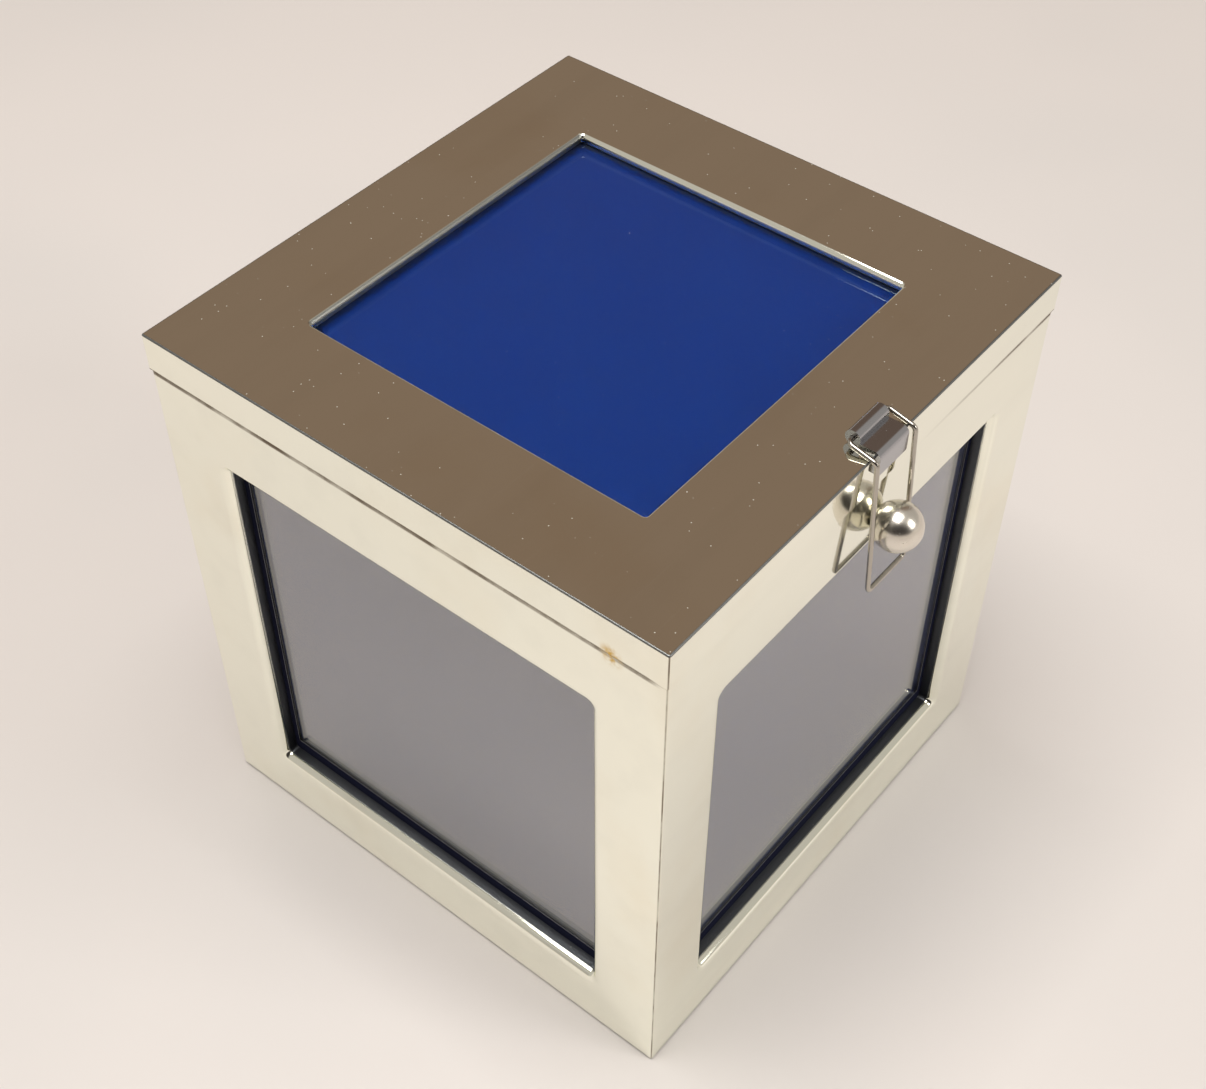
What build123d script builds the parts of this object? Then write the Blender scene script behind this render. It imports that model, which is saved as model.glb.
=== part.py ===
"""Photo cube box: five glazed picture windows, a hinged lid and a ball-and-loop clasp.

Millimetres. +Z is up, the origin is the middle of the underside, and the clasp is on the front, -Y.
"""

import os
from build123d import *

# Insert cards and what stands in front of and behind them
card_size = 90.0  # square picture format
card_thickness = 0.3
glass_thickness = 2.0
glass_rise = 2.0  # the side glass stands this much taller than a card
glass_seam = 0.25  # ground edge of the glass
liner_thickness = 2.0
liner_drop = 1.0  # top of the liner below the body's rim
liner_round = 0.6

# Room round the pieces that drop in
card_slack = 2.7  # spare width beside a card in its slot
head_room = 8.1  # from the top of a card to the rim
slip = 0.2
solder_gap = 0.05

# Sheet-metal body
sheet = 0.8
edge_round = 0.4  # the upright edges are soldered and dressed nearly sharp
rim_round = 0.3
rim_lip = 1.4  # how far the rim turns in past the wall
window_size = 73.0
window_corner = 0.8
window_bend = 0.8  # bends are given by their inside radius
window_recess = 3.2  # from the face to the glass
bottom_rail = 12.4
felt_thickness = 0.5
felt_inset = 1.0
felt_corner = 1.2

# Lid
lid_overhang = 0.3
seam_gap = 0.4
lid_edge_round = 0.3
lid_window_size = 64.2
lid_window_corner = 0.4
lid_window_bend = 0.1
lid_recess = 1.5
backing_thickness = 2.6
backing_inset = 0.3  # backing board above the lower edge of the skirt

# Hinge on the back edge
hinge_length = 62.0
knuckle_count = 5
knuckle_gap = 0.2
barrel_radius = 1.5
barrel_gap = 0.25  # between the barrel and the lid
pin_radius = 0.8
pin_overhang = 0.5
running_gap = 0.05
leaf_thickness = 0.8
body_leaf_height = 5.0
lid_leaf_height = 3.4
leaf_corner = 0.8

# Ball catch on the front rail
clasp_offset = 0.8  # the clasp sits slightly right of the middle
ball_radius = 4.0
ball_standoff = 3.6  # ball centre in front of the body
ball_drop = 7.6  # ball centre below the rim
shank_radius = 1.2
rivet_radius = 2.2
rivet_height = 0.8

# Strap on the lid that carries the loop
strap = 0.85
strap_width = 7.4
strap_lip = 3.4  # reach of the strap down the front of the lid
strap_corner = 0.3
pivot_setback = 4.0  # loop's axis behind the front of the lid

# Wire loop
wire_radius = 0.4
loop_side_gap = 0.55  # between the ball and each side of the loop
loop_slack = 6.4  # between the underside of the ball and the wire
loop_standoff = 3.0  # foot of the loop in front of the body
loop_bend_reach = 1.1  # shoulder of the loop in front of the lid
loop_bend_sink = 0.3
loop_bend = 0.9
loop_end_gap = 0.8  # wire ends stop this far from the middle of the barrel

# Sizes that follow
pocket = window_recess + glass_thickness + card_thickness
body_width = card_size + card_slack + sheet + pocket + 2 * slip
body_half = body_width / 2
body_bottom = felt_thickness
base_top = body_bottom + sheet
body_height = sheet + card_size + head_room
body_top = body_bottom + body_height
rim_edge = min(rim_round, 0.95 * edge_round)
inner_width = body_width - 2 * sheet
inner_half = inner_width / 2
liner_half = body_half - pocket
mouth_width = inner_width - 2 * rim_lip
window_middle = body_bottom + bottom_rail + window_size / 2

lid_width = body_width + 2 * lid_overhang
lid_half = lid_width / 2
lid_inner_width = lid_width - 2 * sheet
lid_bottom = body_top + seam_gap
lid_height = lid_recess + glass_thickness + card_thickness + backing_thickness + backing_inset
lid_top = lid_bottom + lid_height
lid_edge = min(lid_edge_round, 0.95 * edge_round)

hinge_y = lid_half + barrel_gap + barrel_radius
hinge_z = body_top + seam_gap / 2
ball_y = -body_half - ball_standoff
ball_z = body_top - ball_drop

SIDES = {"front": 0, "right": 90, "back": 180, "left": 270}


def wall_plane(angle, depth=0.0):
    """Plane of a side wall with its normal pointing out; angle 0 is the front."""
    return Plane(Rot(0, 0, angle) * Plane.front.offset(body_half - depth).location)


def save(piece, name):
    """Label a finished piece and write it."""
    piece.part.label = name
    export_step(piece.part, f"parts/{name}.step")


def panel(name, plane, left, right, height, thickness, edge_finish):
    """Flat insert standing on the base behind a wall; its edges take the given finish."""
    with BuildPart() as piece:
        with BuildSketch(plane):
            with Locations((left, base_top)):
                Rectangle(right - left, height, align=Align.MIN)
        extrude(amount=-thickness)
        if edge_finish is not None:
            edge_finish(piece)
    save(piece, name)


def seam_glass(piece):
    """Ground edges all round a pane."""
    chamfer(piece.edges(), glass_seam)


def round_board(piece):
    """Soft wrapped top edges of a covered board."""
    fillet(piece.faces().sort_by(Axis.Z)[-1].edges(), liner_round)


os.makedirs("parts", exist_ok=True)

# Body: square tube of sheet with a turned-in rim and four windows with turned-in edges
with BuildPart() as body_shell:
    with BuildSketch(Plane.XY.offset(body_bottom)):
        RectangleRounded(body_width, body_width, edge_round)
    extrude(amount=body_height)
    fillet(body_shell.faces().sort_by(Axis.Z)[-1].edges(), rim_edge)
    with BuildSketch(Plane.XY.offset(body_bottom)):
        Rectangle(inner_width, inner_width)
    extrude(amount=body_height - sheet, mode=Mode.SUBTRACT)
    with BuildSketch(Plane.XY.offset(body_top)):
        Rectangle(mouth_width, mouth_width)
    extrude(amount=-sheet, mode=Mode.SUBTRACT)
    for angle in SIDES.values():
        with BuildSketch(wall_plane(angle)):
            with Locations((0, window_middle)):
                RectangleRounded(window_size + 2 * sheet, window_size + 2 * sheet, window_corner + sheet)
        extrude(amount=-window_recess)
        with BuildSketch(wall_plane(angle)):
            with Locations((0, window_middle)):
                RectangleRounded(window_size, window_size, window_corner)
        extrude(amount=-window_recess, mode=Mode.SUBTRACT)
    for angle in SIDES.values():
        outward = Axis(wall_plane(angle).origin, wall_plane(angle).z_dir)
        inside = body_shell.faces().filter_by(outward).group_by(outward)[-2][0]
        fillet(inside.inner_wires()[0].edges(), window_bend)
        outside = body_shell.faces().filter_by(outward).sort_by(outward)[-1]
        fillet(outside.inner_wires()[0].edges(), window_bend + sheet)
    with BuildSketch(wall_plane(SIDES["front"])):
        with Locations((clasp_offset, ball_z)):
            Circle(shank_radius + solder_gap)
    extrude(amount=-sheet, mode=Mode.SUBTRACT)
save(body_shell, "body_shell")

# Sheet bottom soldered inside the walls, and the felt under it
with BuildPart() as base_plate:
    with BuildSketch(Plane.XY.offset(body_bottom)):
        Rectangle(inner_width - 2 * solder_gap, inner_width - 2 * solder_gap)
    extrude(amount=sheet)
save(base_plate, "base_plate")

with BuildPart() as base_felt:
    with BuildSketch(Plane.XY):
        RectangleRounded(body_width - 2 * felt_inset, body_width - 2 * felt_inset, felt_corner)
    extrude(amount=felt_thickness)
save(base_felt, "base_felt")

# Glass, card and liner board behind each window; each runs past one neighbour and stops at the next
pane_left = slip - inner_half
pane_right = liner_half - slip
liner_right = liner_half - liner_thickness - slip
for side, angle in SIDES.items():
    glass_plane = wall_plane(angle, window_recess)
    card_plane = wall_plane(angle, window_recess + glass_thickness)
    liner_plane = wall_plane(angle, pocket)
    liner_height = body_top - base_top - liner_drop
    panel(f"glass_{side}", glass_plane, pane_left, pane_right, card_size + glass_rise, glass_thickness, seam_glass)
    panel(f"card_{side}", card_plane, pane_right - card_size, pane_right, card_size, card_thickness, None)
    panel(f"liner_{side}", liner_plane, -pane_right, liner_right, liner_height, liner_thickness, round_board)

with BuildPart() as liner_floor:
    with BuildSketch(Plane.XY.offset(base_top)):
        Rectangle(2 * liner_right, 2 * liner_right)
    extrude(amount=liner_thickness)
save(liner_floor, "liner_floor")

# Lid: shallow sheet tray with a skirt and one window
with BuildPart() as lid_shell:
    with BuildSketch(Plane.XY.offset(lid_bottom)):
        RectangleRounded(lid_width, lid_width, edge_round)
    extrude(amount=lid_height)
    fillet(lid_shell.faces().sort_by(Axis.Z)[-1].edges(), lid_edge)
    with BuildSketch(Plane.XY.offset(lid_bottom)):
        Rectangle(lid_inner_width, lid_inner_width)
    extrude(amount=lid_height - sheet, mode=Mode.SUBTRACT)
    with BuildSketch(Plane.XY.offset(lid_top)):
        RectangleRounded(lid_window_size + 2 * sheet, lid_window_size + 2 * sheet, lid_window_corner + sheet)
    extrude(amount=-lid_recess)
    with BuildSketch(Plane.XY.offset(lid_top)):
        RectangleRounded(lid_window_size, lid_window_size, lid_window_corner)
    extrude(amount=-lid_recess, mode=Mode.SUBTRACT)
    ceiling = lid_shell.faces().filter_by(Axis.Z).group_by(Axis.Z)[-2][0]
    fillet(ceiling.inner_wires()[0].edges(), lid_window_bend)
    roof = lid_shell.faces().filter_by(Axis.Z).sort_by(Axis.Z)[-1]
    fillet(roof.inner_wires()[0].edges(), lid_window_bend + sheet)
save(lid_shell, "lid_shell")

# Pane, card and covered board stacked up inside the lid
lid_fill_width = lid_inner_width - 2 * slip
lid_glass_top = lid_top - lid_recess
lid_card_top = lid_glass_top - glass_thickness
backing_top = lid_card_top - card_thickness

with BuildPart() as lid_glass:
    with BuildSketch(Plane.XY.offset(lid_glass_top)):
        Rectangle(lid_fill_width, lid_fill_width)
    extrude(amount=-glass_thickness)
    seam_glass(lid_glass)
save(lid_glass, "lid_glass")

with BuildPart() as lid_card:
    with BuildSketch(Plane.XY.offset(lid_card_top)):
        Rectangle(card_size, card_size)
    extrude(amount=-card_thickness)
save(lid_card, "lid_card")

with BuildPart() as lid_backing:
    with BuildSketch(Plane.XY.offset(backing_top)):
        Rectangle(lid_fill_width, lid_fill_width)
    extrude(amount=-backing_thickness)
    fillet(lid_backing.faces().sort_by(Axis.Z)[0].edges(), liner_round)
save(lid_backing, "lid_backing")

# Hinge: leaves soldered to the back of body and lid, their knuckles in turn along one pin
knuckle_pitch = hinge_length / knuckle_count
leaf_face = lid_half + leaf_thickness
leaf_clear = barrel_radius + barrel_gap
tab_reach = 0.6 * barrel_radius


def hinge_leaf(name, back, far_edge, direction, first_knuckle):
    """Leaf from the wall at `back`, running up (+1) or down (-1) to its own knuckles."""
    near_edge = hinge_z - direction * leaf_clear
    tab_edge = hinge_z - direction * tab_reach
    with BuildPart() as piece:
        with BuildSketch(Plane.XZ.offset(-back)) as outline:
            with Locations((0, (far_edge + near_edge) / 2)):
                Rectangle(hinge_length, abs(near_edge - far_edge))
            rows = outline.vertices().group_by(Axis.Y)
            fillet(rows[0] if direction > 0 else rows[-1], leaf_corner)
        extrude(amount=back - leaf_face)
        for index in range(first_knuckle, knuckle_count, 2):
            middle = (index + 0.5) * knuckle_pitch - hinge_length / 2
            with BuildSketch(Plane.XZ.offset(-back)):
                with Locations((middle, (near_edge + tab_edge) / 2)):
                    Rectangle(knuckle_pitch - knuckle_gap, abs(tab_edge - near_edge))
            extrude(amount=back - leaf_face)
            with BuildSketch(Plane.YZ.offset(middle)):
                with Locations((hinge_y, hinge_z)):
                    Circle(barrel_radius)
            extrude(amount=(knuckle_pitch - knuckle_gap) / 2, both=True)
        with BuildSketch(Plane.YZ):
            with Locations((hinge_y, hinge_z)):
                Circle(pin_radius + running_gap)
        extrude(amount=hinge_length / 2, both=True, mode=Mode.SUBTRACT)
    save(piece, name)


hinge_leaf("hinge_body_leaf", body_half, hinge_z - leaf_clear - body_leaf_height, 1, 0)
hinge_leaf("hinge_lid_leaf", lid_half, hinge_z + leaf_clear + lid_leaf_height, -1, 1)

with BuildPart() as hinge_pin:
    with BuildSketch(Plane.YZ):
        with Locations((hinge_y, hinge_z)):
            Circle(pin_radius)
    extrude(amount=hinge_length / 2 + pin_overhang, both=True)
    chamfer(hinge_pin.edges().filter_by(GeomType.CIRCLE), pin_radius / 4)
save(hinge_pin, "hinge_pin")

# Ball catch: a ball seated flat on the front rail, its shank riveted over inside
with BuildPart() as catch_ball:
    with Locations((clasp_offset, ball_y, ball_z)):
        Sphere(ball_radius)
    split(bisect_by=wall_plane(SIDES["front"]), keep=Keep.TOP)
    with BuildSketch(wall_plane(SIDES["front"])):
        with Locations((clasp_offset, ball_z)):
            Circle(shank_radius)
    extrude(amount=-sheet)
    with BuildSketch(wall_plane(SIDES["front"], sheet)):
        with Locations((clasp_offset, ball_z)):
            Circle(rivet_radius)
    extrude(amount=-rivet_height)
    fillet(catch_ball.faces().sort_by(Axis.Y)[-1].edges(), rivet_height / 2)
save(catch_ball, "catch_ball")

# Strap over the lid's front edge, rolled at its back end into a barrel for the loop
bore_radius = wire_radius + running_gap
roll_radius = bore_radius + strap
pivot_y = pivot_setback - lid_half
pivot_z = lid_top + roll_radius
bend_inside = lid_edge
with BuildPart() as clasp_bracket:
    with BuildSketch(Plane.YZ.offset(clasp_offset)):
        with BuildLine():
            top = Line((pivot_y, lid_top), (bend_inside - lid_half, lid_top))
            RadiusArc(top @ 1, (-lid_half, lid_top - bend_inside), -bend_inside)
            Line((-lid_half, lid_top - bend_inside), (-lid_half, lid_top - strap_lip))
            Line((-lid_half, lid_top - strap_lip), (-lid_half - strap, lid_top - strap_lip))
            Line((-lid_half - strap, lid_top - strap_lip), (-lid_half - strap, lid_top - bend_inside))
            RadiusArc(
                (-lid_half - strap, lid_top - bend_inside),
                (bend_inside - lid_half, lid_top + strap),
                bend_inside + strap,
            )
            Line((bend_inside - lid_half, lid_top + strap), (pivot_y, lid_top + strap))
            Line((pivot_y, lid_top + strap), top @ 0)
        make_face()
        with Locations((pivot_y, pivot_z)):
            Circle(roll_radius)
            Circle(bore_radius, mode=Mode.SUBTRACT)
    extrude(amount=strap_width / 2, both=True)
    lip_end = clasp_bracket.faces().filter_by(Axis.Z).sort_by(Axis.Z)[0]
    fillet(lip_end.edges().filter_by(Axis.Y), strap_corner)
save(clasp_bracket, "clasp_bracket")

# Wire loop: sprung into both ends of the barrel, over the lid's edge and down round the ball
loop_half = ball_radius + loop_side_gap + wire_radius
shoulder_y = -lid_half - loop_bend_reach
shoulder_z = lid_top + wire_radius - loop_bend_sink
foot_y = -body_half - loop_standoff
foot_z = ball_z - ball_radius - loop_slack
right_half = [
    (loop_end_gap, pivot_y, pivot_z),
    (loop_half, pivot_y, pivot_z),
    (loop_half, shoulder_y, shoulder_z),
    (loop_half, foot_y, foot_z),
]
route = [(clasp_offset + x, y, z) for x, y, z in right_half]
route += [(clasp_offset - x, y, z) for x, y, z in reversed(right_half)]
with BuildPart() as clasp_loop:
    with BuildLine():
        FilletPolyline(*route, radius=loop_bend)
    with BuildSketch(Plane(origin=route[0], z_dir=(1, 0, 0))):
        Circle(wire_radius)
    sweep()
save(clasp_loop, "clasp_loop")
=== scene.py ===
"""Looks of the photo cube box: silver plate, glass over blue cards, velvet lining and a felt foot.

Metres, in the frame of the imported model: +Z is up, the origin is the middle of the underside,
and the clasp is on the front, -Y.
"""

import math

import bmesh
import bpy
from mathutils import Matrix, Vector, noise


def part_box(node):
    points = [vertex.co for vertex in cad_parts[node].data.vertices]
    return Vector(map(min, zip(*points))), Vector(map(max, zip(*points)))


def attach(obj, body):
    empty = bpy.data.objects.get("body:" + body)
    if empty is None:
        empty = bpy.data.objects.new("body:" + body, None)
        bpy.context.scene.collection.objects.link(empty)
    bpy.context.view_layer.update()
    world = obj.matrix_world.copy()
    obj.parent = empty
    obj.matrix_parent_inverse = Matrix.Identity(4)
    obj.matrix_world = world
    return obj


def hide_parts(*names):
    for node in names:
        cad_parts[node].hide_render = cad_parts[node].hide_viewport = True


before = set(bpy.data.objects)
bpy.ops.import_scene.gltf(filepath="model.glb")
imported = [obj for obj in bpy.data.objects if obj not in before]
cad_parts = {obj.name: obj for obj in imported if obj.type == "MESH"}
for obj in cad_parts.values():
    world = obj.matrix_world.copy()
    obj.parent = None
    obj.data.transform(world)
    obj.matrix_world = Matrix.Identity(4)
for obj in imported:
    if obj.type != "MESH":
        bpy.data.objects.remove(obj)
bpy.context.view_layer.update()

MM = 0.001

# Places taken from the frame
body_low, body_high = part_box("body_shell")
lid_low, lid_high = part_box("lid_shell")
body_face = body_high.x
lid_face = lid_high.x
lid_top = lid_high.z

# Opening of the side windows
WINDOW_HALF = 36.5 * MM
WINDOW_LOW = 12.9 * MM
WINDOW_HIGH = 85.9 * MM

# Painted shade on a side pane along its window, standing in for the recess's shade and the dark reveal
# mirrored in the glass: how far from the opening's edge it starts to show, and is full
SHADE_BESIDE = (1.25 * MM, 1.1 * MM)
SHADE_BELOW = (2.7 * MM, 2.5 * MM)
SHADE_ABOVE = (1.15 * MM, 1.0 * MM)

# Stain that runs over the seam on the left side, near the front
STAIN_ALONG = -40.4 * MM
STAIN_REACH = 2.4 * MM
STAIN_HEART = 0.3 * MM

# Glass: the side panes reflect as strongly as in the photograph, which takes more than real glass has
SIDE_GLASS_IOR = 2.15
LID_GLASS_IOR = 1.4

# Soft and thin pieces
VELVET_ROUND = 0.6 * MM
VELVET_CROWN = 0.45 * MM
CARD_ROUND = 0.05 * MM
CARD_SINK = 0.08 * MM  # keeps the card's face off the glass
CARD_CROWN = 0.05 * MM
FELT_ROUND = 0.15 * MM
SLAB_CUTS = 19
RIPPLE_SIZE = 9 * MM

# Camera of the photograph
CAMERA_AT = Vector((-168.92, -135.31, 280.61)) * MM
CAMERA_AIM = Vector((-2.74, -0.93, 50.0)) * MM
CAMERA_ROLL = math.radians(0.15)
CAMERA_LENS = 53.83
CAMERA_SHIFT_UP = 0.02

# Colours, linear
SILVER = (0.95, 0.955, 0.84, 1)
STRAP_SILVER = (0.44, 0.44, 0.46, 1)
BALL_SILVER = (0.76, 0.72, 0.65, 1)
WIRE_SILVER = (0.46, 0.43, 0.38, 1)
TARNISH = (0.80, 0.69, 0.48, 1)
STAIN = (0.62, 0.40, 0.08, 1)
# Dull silver of the wiping marks, also the painted shade in recesses and on dulled highlights
DULL_SILVER_AND_SHADE = (0.112, 0.118, 0.128, 1)
EDGE_GRIME = (0.16, 0.125, 0.085, 1)
DUST = (0.72, 0.69, 0.64, 1)
CARD_BLUE = (0.001, 0.029, 0.235, 1)
CARD_BLUE_PALE = (0.003, 0.040, 0.270, 1)
GLASS_TINT = (0.975, 0.99, 0.985, 1)
GLASS_BLOOM = (0.25, 0.55, 0.95, 1)
# Painted shade colour for the band along the side panes' edges
PANE_EDGE_SHADE = (0.014, 0.016, 0.034, 1)
VELVET_DEEP = (0.006, 0.009, 0.038, 1)
VELVET_WORN = (0.016, 0.022, 0.075, 1)
VELVET_SHEEN = (0.22, 0.30, 0.75, 1)
FELT_DARK = (0.010, 0.011, 0.016, 1)
FELT_LIGHT = (0.030, 0.031, 0.040, 1)
TABLE = (0.735, 0.69, 0.66, 1)
TABLE_COOL = (0.70, 0.665, 0.64, 1)
ROOM = (0.50, 0.47, 0.43, 1)
HORIZON = (0.775, 0.70, 0.638, 1)
BROWN_WALL = (0.215, 0.151, 0.110, 1)
ROOM_SHADE = (0.035, 0.030, 0.028, 1)
CLEAR = (1, 1, 1, 1)
LAMP_WHITE = (1.0, 0.975, 0.95)

# Surroundings: the table in metres, the horizon by a view direction's height, the patches by its closeness
TABLE_RADIUS = 4.0
TABLE_FADES = (0.25, 0.85)
HORIZON_SEEN = (0.12, 0.42)
HORIZON_MIRRORED = (0.0, 0.18)
BROWN_TOWARDS = Vector((0.673, 0.545, 0.50))
BROWN_SPREAD = (0.70, 0.88)
SHADE_TOWARDS = Vector((-0.78, -0.62, 0.12))
SHADE_SPREAD = (0.40, 0.82)


class Graph:
    """A node tree under construction."""

    def __init__(self, tree):
        self.tree = tree

    def add(self, kind, inputs=None, **properties):
        """New node with its properties set and its inputs fed by values or by other nodes."""
        node = self.tree.nodes.new("ShaderNode" + kind)
        for key, value in properties.items():
            setattr(node, key, value)
        for key, value in (inputs or {}).items():
            self.feed(node.inputs[key], value)
        return node

    def feed(self, socket, value):
        """Link a socket to another one, or set it to a value."""
        if isinstance(value, bpy.types.NodeSocket):
            self.tree.links.new(value, socket)
        else:
            socket.default_value = value

    def math(self, operation, a, b=0.0):
        return self.add("Math", {0: a, 1: b}, operation=operation).outputs[0]

    def step(self, value, zero_at, one_at):
        """0 before zero_at, 1 after one_at, smooth in between."""
        limits = {"Value": value, "From Min": zero_at, "From Max": one_at}
        return self.add("MapRange", limits, interpolation_type="SMOOTHSTEP").outputs["Result"]

    def fit(self, value, low, high):
        """A value from 0 to 1 spread from low to high."""
        return self.add("MapRange", {"Value": value, "To Min": low, "To Max": high}).outputs["Result"]

    def mix(self, factor, a, b):
        """Colour a at factor 0, colour b at 1."""
        node = self.add("Mix", data_type="RGBA")
        for index, value in ((0, factor), (6, a), (7, b)):
            self.feed(node.inputs[index], value)
        return node.outputs[2]


class Surface(Graph):
    """A procedural material under construction, with the object's own coordinates at hand."""

    def __init__(self, name, constants):
        self.material = bpy.data.materials.new(name)
        self.material.use_nodes = True
        super().__init__(self.material.node_tree)
        self.shader = self.tree.nodes["Principled BSDF"]
        for socket, value in constants.items():
            self.shader.inputs[socket].default_value = value
        coordinates = self.add("TexCoord")
        self.place = coordinates.outputs["Object"]
        self.facing = coordinates.outputs["Normal"]

    def drive(self, socket, value):
        """Let a node decide one of the shader's own inputs."""
        self.feed(self.shader.inputs[socket], value)

    def noise(self, size, detail=2.0, place=None):
        """Cloudy 0 to 1 pattern whose features are about the given size across."""
        inputs = {"Vector": place or self.place, "Scale": 1 / size, "Detail": detail}
        return self.add("TexNoise", inputs).outputs["Fac"]

    def stretched(self, length, width, turn):
        """Object coordinates for streaks of that length and width, turned by three angles in degrees."""
        inputs = {
            "Vector": self.place,
            "Rotation": [math.radians(a) for a in turn],
            "Scale": (width / length, 1, 1),
        }
        return self.add("Mapping", inputs).outputs["Vector"]

    def bump(self, height, depth, under=None):
        """Relief of the given depth in metres, on top of an earlier one."""
        inputs = {"Height": height, "Distance": depth}
        if under is not None:
            inputs["Normal"] = under
        return self.add("Bump", inputs).outputs["Normal"]

    def axes(self):
        """The x, y and z of the object's coordinates."""
        split = self.add("SeparateXYZ", {"Vector": self.place})
        return split.outputs

    def off_axis(self, which="MAXIMUM"):
        """Larger, or smaller, of the two distances from the box's upright middle planes."""
        x, y, _ = self.axes()
        return self.math(which, self.math("ABSOLUTE", x), self.math("ABSOLUTE", y))

    def upward(self):
        """How far the surface looks up: 1 on a level top."""
        return self.add("SeparateXYZ", {"Vector": self.facing}).outputs["Z"]

    def solder_line(self, face):
        """1 along the four upright edges of a square box whose faces lie that far out."""
        return self.step(self.off_axis("MINIMUM"), face - 0.30 * MM, face - 0.12 * MM)

    def off_front(self, mask):
        """A mask left out on the front, where the clasp is, up to its far right."""
        x, y, _ = self.axes()
        elsewhere = self.math("MAXIMUM", self.step(x, 8 * MM, 45 * MM), self.step(y, -49 * MM, -46 * MM))
        return self.math("MULTIPLY", mask, elsewhere)

    def specks(self, spacing, radius, share):
        """Dust: small spots in a share of the cells of a random pattern, on faces that look up."""
        cells = self.add("TexVoronoi", {"Vector": self.place, "Scale": 1 / spacing})
        spot = self.step(cells.outputs["Distance"], radius / spacing, 0.4 * radius / spacing)
        chance = self.add("SeparateColor", {"Color": cells.outputs["Color"]}).outputs["Red"]
        chosen = self.math("GREATER_THAN", share, chance)
        level = self.math("GREATER_THAN", self.upward(), 0.9)
        return self.math("MULTIPLY", spot, self.math("MULTIPLY", chosen, level))

    def dust(self, faintness):
        """Many faint specks and a few plain ones."""
        faint = self.math("MULTIPLY", faintness, self.specks(1.5 * MM, 0.14 * MM, 0.5))
        plain = self.math("MULTIPLY", 0.75, self.specks(5.3 * MM, 0.15 * MM, 0.3))
        return self.math("MAXIMUM", faint, plain)


def body_painted_shade(surface):
    """Painted shade on the body: 1 deep in the windows and inside, below the rim."""
    depth = surface.step(surface.off_axis(), body_face - 1.3 * MM, body_face - 1.6 * MM)
    below_rim = surface.step(surface.axes()["Z"], body_high.z - 4 * MM, body_high.z - 6 * MM)
    return surface.math("MULTIPLY", depth, below_rim)


def body_edges(surface):
    """1 along the body's soldered edges and under the lid."""
    band = surface.step(surface.axes()["Z"], body_high.z - 0.9 * MM, body_high.z - 0.5 * MM)
    outside = surface.step(surface.off_axis(), body_face - 0.3 * MM, body_face - 0.1 * MM)
    seam = surface.off_front(surface.math("MULTIPLY", band, outside))
    return surface.math("MAXIMUM", seam, surface.solder_line(body_face))


def lid_painted_shade(surface):
    """Painted shade on the lid: 1 in the lid's window next to the glass; nearly 1 on its back edge and on the
    folded top edges, where it dulls the lamps' highlights.
    """
    x, y, height = surface.axes()
    inside = surface.step(surface.off_axis(), 36 * MM, 34 * MM)
    behind = surface.step(surface.math("SUBTRACT", y, surface.math("ABSOLUTE", x)), -0.5 * MM, 0.5 * MM)
    turned = surface.math("MULTIPLY", behind, surface.step(height, lid_top - 0.02 * MM, lid_top - 0.15 * MM))
    at_glass = surface.step(height, lid_top - 1.2 * MM, lid_top - 1.4 * MM)
    window_shade = surface.math("MAXIMUM", at_glass, surface.math("MULTIPLY", 0.75, turned))
    outer = surface.step(surface.off_axis(), lid_face - 0.34 * MM, lid_face - 0.24 * MM)
    upper = surface.step(height, lid_top - 0.30 * MM, lid_top - 0.20 * MM)
    fold_shade = surface.math("MULTIPLY", 0.9, surface.math("MULTIPLY", outer, upper))
    return surface.math("MAXIMUM", surface.math("MULTIPLY", inside, window_shade), fold_shade)


def lid_edges(surface):
    """1 along the lid's soldered edges and its lower rim."""
    rim = surface.step(surface.axes()["Z"], lid_low.z + 0.25 * MM, lid_low.z + 0.1 * MM)
    return surface.math("MAXIMUM", surface.off_front(rim), surface.solder_line(lid_face))


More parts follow.
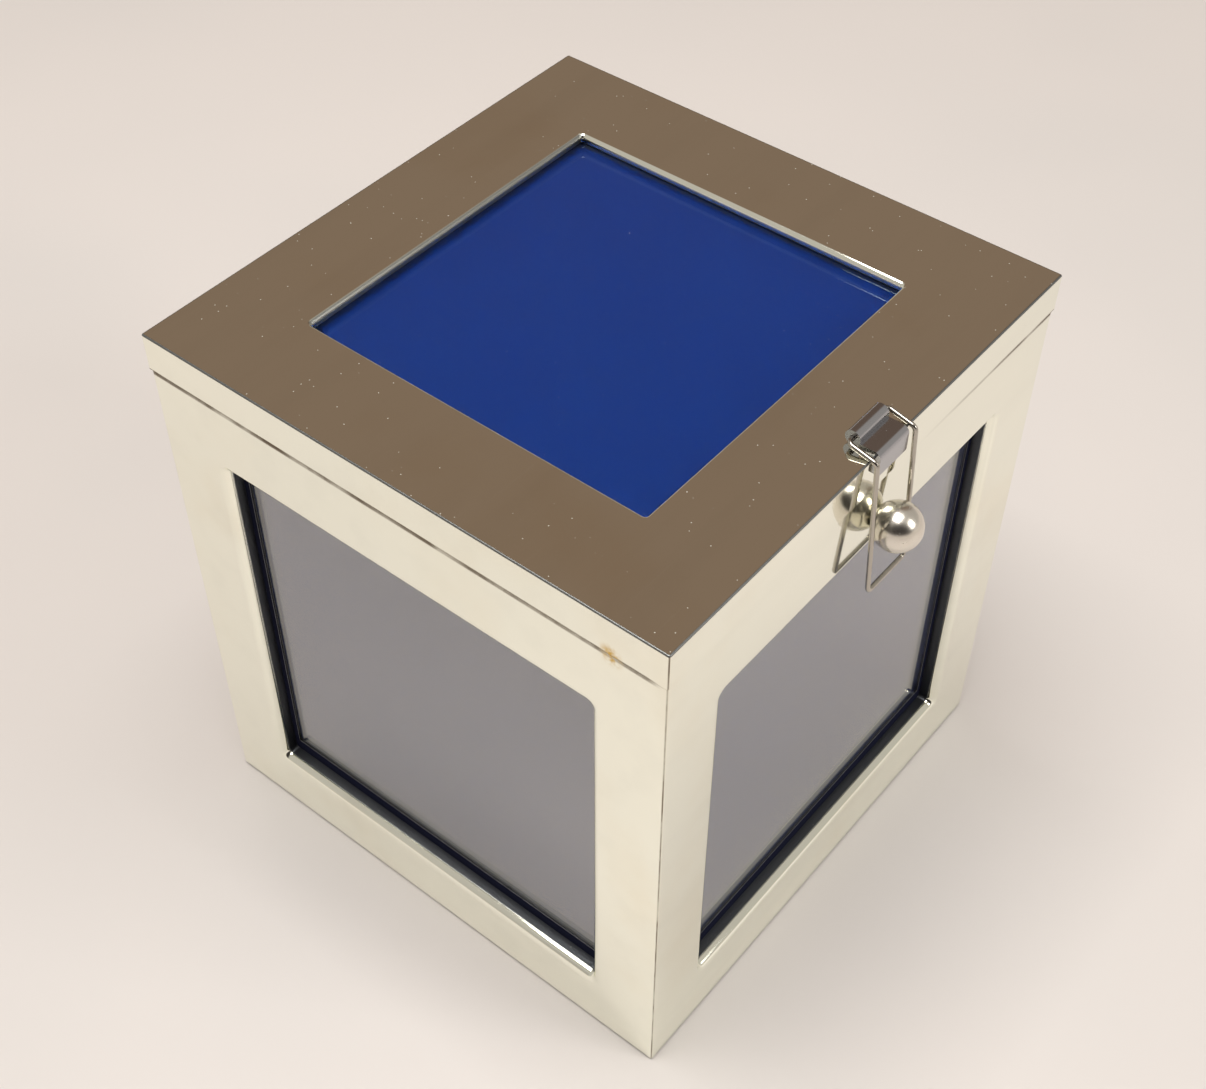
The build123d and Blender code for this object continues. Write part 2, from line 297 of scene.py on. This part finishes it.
def silver(name, tone=SILVER, matt=0.0, shade_mask=None, edges=None, stain_at=None):
    """Polished silver plate: soft tarnish, wiping marks, a slight wave of the sheet and some dust, with
    painted shade where a mask is given.
    """
    plate = Surface(name, {"Metallic": 1.0})
    colour = plate.mix(plate.fit(plate.step(plate.noise(28 * MM, 4), 0.5, 0.8), 0.0, 0.25), tone, TARNISH)
    wiped = plate.step(plate.noise(7 * MM, 4, plate.stretched(50 * MM, 7 * MM, (10, 25, 30))), 0.45, 0.75)
    colour = plate.mix(plate.fit(wiped, 0.0, 0.035), colour, DULL_SILVER_AND_SHADE)
    roughness = plate.fit(plate.noise(9 * MM, 3), 0.03 + matt, 0.08 + matt)

    for turn in ((0, 20, 35), (15, 70, -40), (80, 0, 65)):
        streaks = plate.noise(0.35 * MM, 2, plate.stretched(30 * MM, 0.35 * MM, turn))
        roughness = plate.math("ADD", roughness, plate.math("MULTIPLY", plate.step(streaks, 0.66, 0.8), 0.10))

    if edges is not None:
        patchy = plate.fit(plate.step(plate.noise(6 * MM, 3), 0.3, 0.7), 0.45, 1.0)
        line = plate.math("MULTIPLY", edges(plate), patchy)
        colour = plate.mix(line, colour, EDGE_GRIME)
        roughness = plate.math("ADD", roughness, plate.math("MULTIPLY", line, 0.3))

    if stain_at is not None:
        away = plate.add("VectorMath", {0: plate.place, 1: stain_at}, operation="DISTANCE").outputs["Value"]
        blot = plate.step(plate.noise(1.2 * MM), 0.3, 0.6)
        stained = plate.math("MULTIPLY", plate.step(away, STAIN_REACH, STAIN_HEART), blot)
        colour = plate.mix(stained, colour, STAIN)

    # Painted shade: where the mask says, the plate turns dark and rough
    if shade_mask is not None:
        shaded = shade_mask(plate)
        colour = plate.mix(shaded, colour, DULL_SILVER_AND_SHADE)
        roughness = plate.math("ADD", roughness, plate.math("MULTIPLY", shaded, 0.35))

    dust = plate.dust(0.4)
    plate.drive("Base Color", plate.mix(dust, colour, DUST))
    plate.drive("Metallic", plate.math("SUBTRACT", 1.0, dust))
    plate.drive("Roughness", plate.math("ADD", roughness, plate.math("MULTIPLY", dust, 0.7)))

    wave = plate.bump(plate.noise(24 * MM, 1), 0.05 * MM)
    plate.drive("Normal", plate.bump(plate.noise(0.8 * MM, 2), 0.0006 * MM, wave))
    return plate.material


def pane_edge_shade(pane):
    """1 on the painted shade along the edges of a side window, where pane, card and metal meet."""
    height = pane.axes()["Z"]
    beside = pane.step(pane.off_axis("MINIMUM"), *(WINDOW_HALF - reach for reach in SHADE_BESIDE))
    below = pane.step(height, *(WINDOW_LOW + reach for reach in SHADE_BELOW))
    above = pane.step(height, *(WINDOW_HIGH - reach for reach in SHADE_ABOVE))
    return pane.math("MAXIMUM", beside, pane.math("MAXIMUM", below, above))


def glass(name, refraction, reflection, edges=None):
    """Clear pane with a faint haze of wiping and a little dust on what lies flat; where edges are given, a
    band of painted shade along the window.
    """
    pane = Surface(name, {"IOR": refraction, "Transmission Weight": 1.0, "Specular Tint": reflection})
    haze = pane.step(pane.noise(14 * MM, 5, pane.stretched(30 * MM, 12 * MM, (0, 30, 50))), 0.5, 0.8)
    dust = pane.dust(0.12)
    colour = pane.mix(dust, GLASS_TINT, DUST)
    dust_and_shade = dust
    # Painted shade: along the window's edges the pane turns dark, opaque and unreflecting
    if edges is not None:
        line = edges(pane)
        colour = pane.mix(line, colour, PANE_EDGE_SHADE)
        dust_and_shade = pane.math("MAXIMUM", dust, line)
        pane.drive("Specular IOR Level", pane.fit(line, 0.5, 0.0))
    pane.drive("Base Color", colour)
    pane.drive("Transmission Weight", pane.math("SUBTRACT", 1.0, dust_and_shade))
    pane.drive("Roughness", pane.math("ADD", pane.fit(haze, 0.0, 0.008), dust_and_shade))
    return pane.material


def blue_card():
    """Matt printed card: even blue with a fine paper grain and slight differences of ink."""
    card = Surface("blue_card", {"Specular IOR Level": 0.12})
    cloud = card.noise(18 * MM, 3)
    grain = card.noise(0.25 * MM, 2)
    ink = card.mix(cloud, CARD_BLUE, CARD_BLUE_PALE)
    card.drive("Base Color", card.mix(card.fit(grain, 0.2, 0.9), CARD_BLUE, ink))
    card.drive("Roughness", card.fit(cloud, 0.45, 0.6))
    card.drive("Normal", card.bump(grain, 0.01 * MM))
    return card.material


def velvet():
    """Deep blue short-pile velvet, brushed lighter in places."""
    pile = Surface(
        "velvet",
        {"Roughness": 0.95, "Sheen Weight": 0.8, "Sheen Roughness": 0.35, "Sheen Tint": VELVET_SHEEN},
    )
    brushed = pile.step(pile.noise(11 * MM, 3, pile.stretched(26 * MM, 11 * MM, (20, 40, 30))), 0.42, 0.68)
    tips = pile.noise(0.3 * MM, 2)
    pile.drive("Base Color", pile.mix(pile.math("MULTIPLY", brushed, tips), VELVET_DEEP, VELVET_WORN))
    pile.drive("Normal", pile.bump(tips, 0.12 * MM))
    return pile.material


def felt():
    """Dark pressed felt with loose fibres."""
    fibres = Surface("felt", {"Roughness": 1.0, "Sheen Weight": 0.3, "Sheen Roughness": 0.5})
    strands = fibres.noise(0.25 * MM, 3, fibres.stretched(2.5 * MM, 0.25 * MM, (30, 10, 50)))
    fibres.drive("Base Color", fibres.mix(fibres.step(strands, 0.45, 0.7), FELT_DARK, FELT_LIGHT))
    fibres.drive("Normal", fibres.bump(strands, 0.15 * MM))
    return fibres.material


def table_top():
    """Pale plain table, a touch cooler in places.

    To the camera and in reflections it passes into the backdrop with distance.
    """
    top = Surface("table", {"Specular IOR Level": 0.25})
    cloud = top.noise(140 * MM, 2)
    top.drive("Base Color", top.mix(top.step(cloud, 0.35, 0.7), TABLE, TABLE_COOL))
    top.drive("Roughness", top.fit(top.noise(60 * MM, 3), 0.38, 0.5))

    away = top.add("VectorMath", {0: top.place}, operation="LENGTH").outputs["Value"]
    rays = top.add("LightPath").outputs
    seen = top.math("MAXIMUM", rays["Is Camera Ray"], rays["Is Glossy Ray"])
    backdrop = top.add("Emission", {"Color": HORIZON}).outputs["Emission"]
    blend = top.add("MixShader", {0: top.math("MULTIPLY", seen, top.step(away, *TABLE_FADES)), 2: backdrop})
    top.feed(blend.inputs[1], top.shader.outputs["BSDF"])
    top.feed(top.tree.nodes["Material Output"].inputs["Surface"], blend.outputs["Shader"])
    return top.material


PLATE = silver("silver_plate")
BODY_PLATE = silver(
    "silver_plate_body",
    shade_mask=body_painted_shade,
    edges=body_edges,
    stain_at=(-body_face, STAIN_ALONG, body_high.z - 0.3 * MM),
)
LID_PLATE = silver(
    "silver_plate_lid",
    shade_mask=lid_painted_shade,
    edges=lid_edges,
    stain_at=(-lid_face, STAIN_ALONG, lid_low.z),
)
BALL_PLATE = silver("silver_plate_ball", tone=BALL_SILVER, matt=0.18)
STRAP_PLATE = silver("silver_plate_strap", tone=STRAP_SILVER, matt=0.12)
WIRE_PLATE = silver("silver_plate_wire", tone=WIRE_SILVER, matt=0.12)
SIDE_GLASS = glass("glass_side", SIDE_GLASS_IOR, CLEAR, pane_edge_shade)
LID_GLASS = glass("glass_lid", LID_GLASS_IOR, GLASS_BLOOM)
CARD = blue_card()
VELVET = velvet()
FELT = felt()

SIDES = ("front", "right", "back", "left")


def dress(node, material):
    """Give a CAD node its finish."""
    mesh_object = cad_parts[node]
    for slot in mesh_object.material_slots:
        slot.material = material


dress("body_shell", BODY_PLATE)
dress("lid_shell", LID_PLATE)
dress("catch_ball", BALL_PLATE)
dress("clasp_bracket", STRAP_PLATE)
dress("clasp_loop", WIRE_PLATE)
for node in ("base_plate", "hinge_body_leaf", "hinge_lid_leaf", "hinge_pin"):
    dress(node, PLATE)
dress("lid_glass", LID_GLASS)
for side in SIDES:
    dress(f"glass_{side}", SIDE_GLASS)


def soft_slab(name, node, material, round_radius, face, sink, crown):
    """Closed slab in a node's place with rounded edges.

    The side that looks along `face` lies `sink` under the node's, and is crowned: its edges drop by `crown`.
    Rows of vertices crowd towards the edges, where the covering turns over.
    """
    low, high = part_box(node)
    middle, half = (low + high) / 2, (high - low) / 2
    mesh = bpy.data.meshes.new(name)
    build = bmesh.new()
    bmesh.ops.create_cube(build, size=2)
    bmesh.ops.subdivide_edges(build, edges=build.edges, cuts=SLAB_CUTS, use_grid_fill=True)
    for vertex in build.verts:
        spread = Vector(math.sin(c * math.pi / 2) for c in vertex.co)
        edge = max(abs(spread[i]) for i in range(3) if not face[i])
        corner = Vector(spread[i] * half[i] for i in range(3))
        core = Vector(max(round_radius - half[i], min(half[i] - round_radius, corner[i])) for i in range(3))
        out = corner - core
        point = core + (out.normalized() * round_radius if out.length > 0 else out)
        if vertex.co.dot(face) > 0.99:
            ripple = 0.5 + 0.5 * noise.noise((point + middle) / RIPPLE_SIZE)
            point -= face * (sink + crown * (edge**4 + 0.25 * ripple * (1 - edge**4)))
        vertex.co = point + middle
    build.to_mesh(mesh)
    build.free()
    mesh.shade_smooth()
    mesh.materials.append(material)
    slab = bpy.data.objects.new(name, mesh)
    bpy.context.scene.collection.objects.link(slab)
    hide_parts(node)
    return slab


# Velvet-covered boards, slightly padded on the side that shows, and blue cards in front of them
UP = Vector((0, 0, 1))
OUTWARD = {
    "front": Vector((0, -1, 0)),
    "right": Vector((1, 0, 0)),
    "back": Vector((0, 1, 0)),
    "left": Vector((-1, 0, 0)),
}
pads = [(f"liner_{side}", "body", -OUTWARD[side]) for side in SIDES]
pads += [("liner_floor", "body", UP), ("lid_backing", "lid", -UP)]
for node, carrier, face in pads:
    pad = soft_slab(f"velvet_{node}", node, VELVET, VELVET_ROUND, face, 0.0, VELVET_CROWN)
    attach(pad, carrier)

inserts = [(f"card_{side}", "body", OUTWARD[side]) for side in SIDES]
inserts += [("lid_card", "lid", UP)]
for node, carrier, face in inserts:
    insert = soft_slab(f"insert_{node}", node, CARD, CARD_ROUND, face, CARD_SINK, CARD_CROWN)
    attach(insert, carrier)

# Felt glued under the base
foot = soft_slab("felt_foot", "base_felt", FELT, FELT_ROUND, -UP, 0.0, 0.0)
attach(foot, "body")


def build_table():
    """Round pale table top under the box."""
    mesh = bpy.data.meshes.new("table")
    build = bmesh.new()
    bmesh.ops.create_circle(build, cap_ends=True, segments=96, radius=TABLE_RADIUS)
    build.to_mesh(mesh)
    build.free()
    mesh.materials.append(table_top())
    table = bpy.data.objects.new("table", mesh)
    bpy.context.scene.collection.objects.link(table)


def softbox(name, at, aim, width, depth, power):
    """Rectangular soft lamp."""
    lamp = bpy.data.lights.new(name, "AREA")
    lamp.shape = "RECTANGLE"
    lamp.size = width
    lamp.size_y = depth
    lamp.energy = power
    lamp.color = LAMP_WHITE
    lamp_object = bpy.data.objects.new(name, lamp)
    lamp_object.location = at
    lamp_object.rotation_euler = (Vector(aim) - Vector(at)).to_track_quat("-Z", "Y").to_euler()
    bpy.context.scene.collection.objects.link(lamp_object)


def build_room():
    """World: a pale room, paler at the horizon.

    In reflections the room darkens sooner above the horizon, towards a brown wall and the viewer's own shade.
    """
    world = bpy.data.worlds.new("room")
    world.use_nodes = True
    room = Graph(world.node_tree)
    looking = room.add("TexCoord").outputs["Generated"]
    height = room.add("SeparateXYZ", {"Vector": looking}).outputs["Z"]
    unseen = room.math("SUBTRACT", 1.0, room.add("LightPath").outputs["Is Camera Ray"])
    mirrored = room.math("MULTIPLY", unseen, room.step(height, *HORIZON_MIRRORED))
    colour = room.mix(room.math("MAXIMUM", mirrored, room.step(height, *HORIZON_SEEN)), HORIZON, ROOM)
    patches = ((BROWN_TOWARDS, BROWN_SPREAD, BROWN_WALL), (SHADE_TOWARDS, SHADE_SPREAD, ROOM_SHADE))
    for towards, spread, shade in patches:
        inputs = {0: looking, 1: towards.normalized()}
        closeness = room.add("VectorMath", inputs, operation="DOT_PRODUCT").outputs["Value"]
        patch = room.math("MULTIPLY", mirrored, room.step(closeness, *spread))
        colour = room.mix(patch, colour, shade)
    room.feed(world.node_tree.nodes["Background"].inputs["Color"], colour)
    bpy.context.scene.world = world


def build_camera():
    """Camera at the photograph's viewpoint."""
    lens = bpy.data.cameras.new("camera")
    lens.lens = CAMERA_LENS
    lens.shift_y = CAMERA_SHIFT_UP
    lens.clip_start = 0.01
    camera = bpy.data.objects.new("camera", lens)
    look = (CAMERA_AIM - CAMERA_AT).to_track_quat("-Z", "Y").to_matrix()
    turned = look @ Matrix.Rotation(CAMERA_ROLL, 3, "Z")
    camera.matrix_world = Matrix.Translation(CAMERA_AT) @ turned.to_4x4()
    bpy.context.scene.collection.objects.link(camera)
    bpy.context.scene.camera = camera


build_table()
build_room()
softbox("overhead_lamp", (-0.15, 0.03, 1.0), (-0.15, 0.03, 0.0), 0.55, 0.66, 8.3)
softbox("front_lamp", (0.28, -0.95, 0.68), (0, 0, 0.05), 0.35, 0.5, 3.4)
build_camera()
bpy.context.scene.view_settings.view_transform = "Standard"
